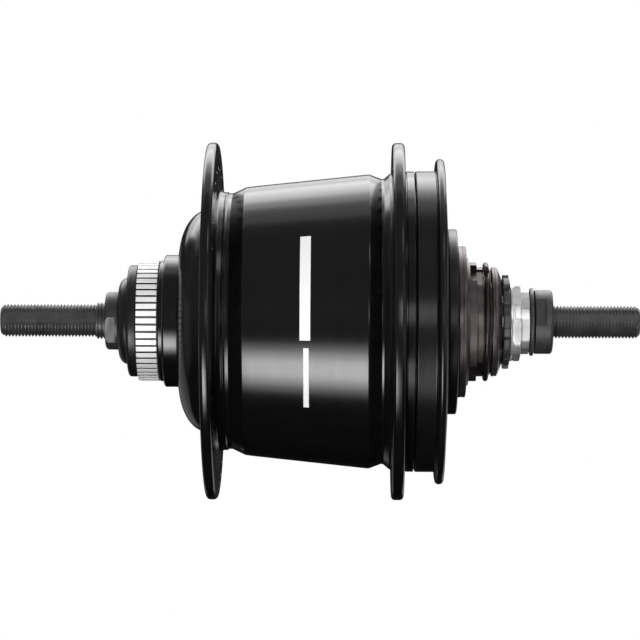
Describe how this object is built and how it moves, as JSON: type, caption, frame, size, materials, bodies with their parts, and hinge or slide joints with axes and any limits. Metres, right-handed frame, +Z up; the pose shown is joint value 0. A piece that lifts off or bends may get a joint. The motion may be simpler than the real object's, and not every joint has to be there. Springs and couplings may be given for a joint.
{
  "type": "bicycle hub gear",
  "caption": "Black internal-gear rear hub: threaded axle, drilled spoke flanges, splined brake-rotor seat, sprocket driver, planetary gears inside.",
  "frame": {"origin": "middle of the axle, on its centre line", "axes": "+X along the axle towards the sprocket side, +Z up, -Y towards the front in the picture's view"},
  "size_m": [0.187, 0.1046, 0.1046],
  "materials": {
    "black_coat": "gloss black anodised and lacquered aluminium",
    "spline_alloy": "bright machined aluminium",
    "driver_steel": "brown-black heat-treated steel",
    "selector_steel": "dark sintered steel",
    "cone_steel": "bright turned steel",
    "gear_steel": "satin ground steel",
    "bearing_steel": "polished",
    "axle_thread": "black oxide thread",
    "locknut_charcoal": "charcoal zinc plate",
    "seal_rubber": "matt"
  },
  "bodies": {
    "axle": {"hub_axle": "axle_thread", "left_locknut": "locknut_charcoal", "left_dust_cap": "black_coat", "left_cone": "gear_steel", "right_cone": "cone_steel", "right_washer": "locknut_charcoal", "right_locknut": "locknut_charcoal", "input_sun_gear": "gear_steel", "output_sun_gear": "gear_steel", "return_spring": "cone_steel", "clutch_spring": "cone_steel"},
    "shell": {"hub_shell": "black_coat", "rotor_spline_ring": "spline_alloy", "rotor_thread_collar": "black_coat", "left_bearing_cup": "gear_steel", "left_shell_seal": "seal_rubber", "right_end_cover": "black_coat", "output_ring_gear": "gear_steel", "roller_clutch": "gear_steel"},
    "driver": {"driver": "driver_steel", "driver_dust_cap": "black_coat", "sprocket_snap_ring": "driver_steel", "driver_end_cap": "driver_steel", "input_ring_gear": "gear_steel"},
    "carrier": {"carrier_left_cage": "gear_steel", "carrier_middle_plate": "gear_steel", "carrier_right_cage": "gear_steel", "planet_pin_1": "cone_steel", "planet_pin_2": "cone_steel", "planet_pin_3": "cone_steel", "planet_pin_4": "cone_steel"},
    "first_planet_1": {"first_planet_1": "gear_steel"},
    "first_planet_2": {"first_planet_2": "gear_steel"},
    "first_planet_3": {"first_planet_3": "gear_steel"},
    "first_planet_4": {"first_planet_4": "gear_steel"},
    "second_planet_1": {"second_planet_1": "gear_steel"},
    "second_planet_2": {"second_planet_2": "gear_steel"},
    "second_planet_3": {"second_planet_3": "gear_steel"},
    "second_planet_4": {"second_planet_4": "gear_steel"},
    "idle_sun": {"idle_sun_gear": "gear_steel"},
    "clutch": {"clutch_ring": "gear_steel"},
    "selector": {"selector_sleeve": "gear_steel", "selector_ring": "selector_steel", "selector_cam": "gear_steel"},
    "left_balls": {"left_ball_ring": "bearing_steel"},
    "right_balls": {"right_ball_ring": "bearing_steel"},
    "shell_balls": {"shell_ball_ring": "bearing_steel"}
  },
  "joints": [
    {"name": "shell_spin", "type": "hinge", "parent": "axle", "child": "shell", "pos_m": [0, 0, 0], "axis": [1, 0, 0], "continuous": true},
    {"name": "driver_spin", "type": "hinge", "parent": "axle", "child": "driver", "pos_m": [0, 0, 0], "axis": [1, 0, 0], "continuous": true},
    {"name": "carrier_spin", "type": "hinge", "parent": "axle", "child": "carrier", "pos_m": [0, 0, 0], "axis": [1, 0, 0], "continuous": true},
    {"name": "first_planet_1_spin", "type": "hinge", "parent": "carrier", "child": "first_planet_1", "pos_m": [0, 0.022, 0], "axis": [1, 0, 0], "continuous": true},
    {"name": "first_planet_2_spin", "type": "hinge", "parent": "carrier", "child": "first_planet_2", "pos_m": [0, 0, 0.022], "axis": [1, 0, 0], "continuous": true},
    {"name": "first_planet_3_spin", "type": "hinge", "parent": "carrier", "child": "first_planet_3", "pos_m": [0, -0.022, 0], "axis": [1, 0, 0], "continuous": true},
    {"name": "first_planet_4_spin", "type": "hinge", "parent": "carrier", "child": "first_planet_4", "pos_m": [0, 0, -0.022], "axis": [1, 0, 0], "continuous": true},
    {"name": "second_planet_1_spin", "type": "hinge", "parent": "carrier", "child": "second_planet_1", "pos_m": [0, 0.022, 0], "axis": [1, 0, 0], "continuous": true},
    {"name": "second_planet_2_spin", "type": "hinge", "parent": "carrier", "child": "second_planet_2", "pos_m": [0, 0, 0.022], "axis": [1, 0, 0], "continuous": true},
    {"name": "second_planet_3_spin", "type": "hinge", "parent": "carrier", "child": "second_planet_3", "pos_m": [0, -0.022, 0], "axis": [1, 0, 0], "continuous": true},
    {"name": "second_planet_4_spin", "type": "hinge", "parent": "carrier", "child": "second_planet_4", "pos_m": [0, 0, -0.022], "axis": [1, 0, 0], "continuous": true},
    {"name": "idle_sun_spin", "type": "hinge", "parent": "axle", "child": "idle_sun", "pos_m": [0, 0, 0], "axis": [1, 0, 0], "continuous": true},
    {"name": "left_balls_spin", "type": "hinge", "parent": "axle", "child": "left_balls", "pos_m": [0, 0, 0], "axis": [1, 0, 0], "continuous": true},
    {"name": "right_balls_spin", "type": "hinge", "parent": "axle", "child": "right_balls", "pos_m": [0, 0, 0], "axis": [1, 0, 0], "continuous": true},
    {"name": "shell_balls_spin", "type": "hinge", "parent": "axle", "child": "shell_balls", "pos_m": [0, 0, 0], "axis": [1, 0, 0], "continuous": true},
    {"name": "selector_turn", "type": "hinge", "parent": "axle", "child": "selector", "pos_m": [0, 0, 0], "axis": [1, 0, 0], "range_deg": [0, 125], "stiffness_Nm_per_rad": 0.02},
    {"name": "clutch_slide", "type": "slide", "parent": "driver", "child": "clutch", "axis": [-1, 0, 0], "range_m": [0, 0.00284]}
  ],
  "couplings": [
    {"joint": "driver_spin", "follows": "shell_spin", "ratio": 0.85714},
    {"joint": "carrier_spin", "follows": "shell_spin", "ratio": 0.6},
    {"joint": "first_planet_1_spin", "follows": "shell_spin", "ratio": 0.9},
    {"joint": "first_planet_2_spin", "follows": "shell_spin", "ratio": 0.9},
    {"joint": "first_planet_3_spin", "follows": "shell_spin", "ratio": 0.9},
    {"joint": "first_planet_4_spin", "follows": "shell_spin", "ratio": 0.9},
    {"joint": "second_planet_1_spin", "follows": "shell_spin", "ratio": 1.4},
    {"joint": "second_planet_2_spin", "follows": "shell_spin", "ratio": 1.4},
    {"joint": "second_planet_3_spin", "follows": "shell_spin", "ratio": 1.4},
    {"joint": "second_planet_4_spin", "follows": "shell_spin", "ratio": 1.4},
    {"joint": "idle_sun_spin", "follows": "shell_spin", "ratio": -0.33333},
    {"joint": "left_balls_spin", "follows": "shell_spin", "ratio": 0.56},
    {"joint": "right_balls_spin", "follows": "shell_spin", "ratio": 0.48},
    {"joint": "shell_balls_spin", "follows": "shell_spin", "ratio": 0.934},
    {"joint": "selector_turn", "follows": "clutch_slide", "rad_per_m": 769.23}
  ]
}
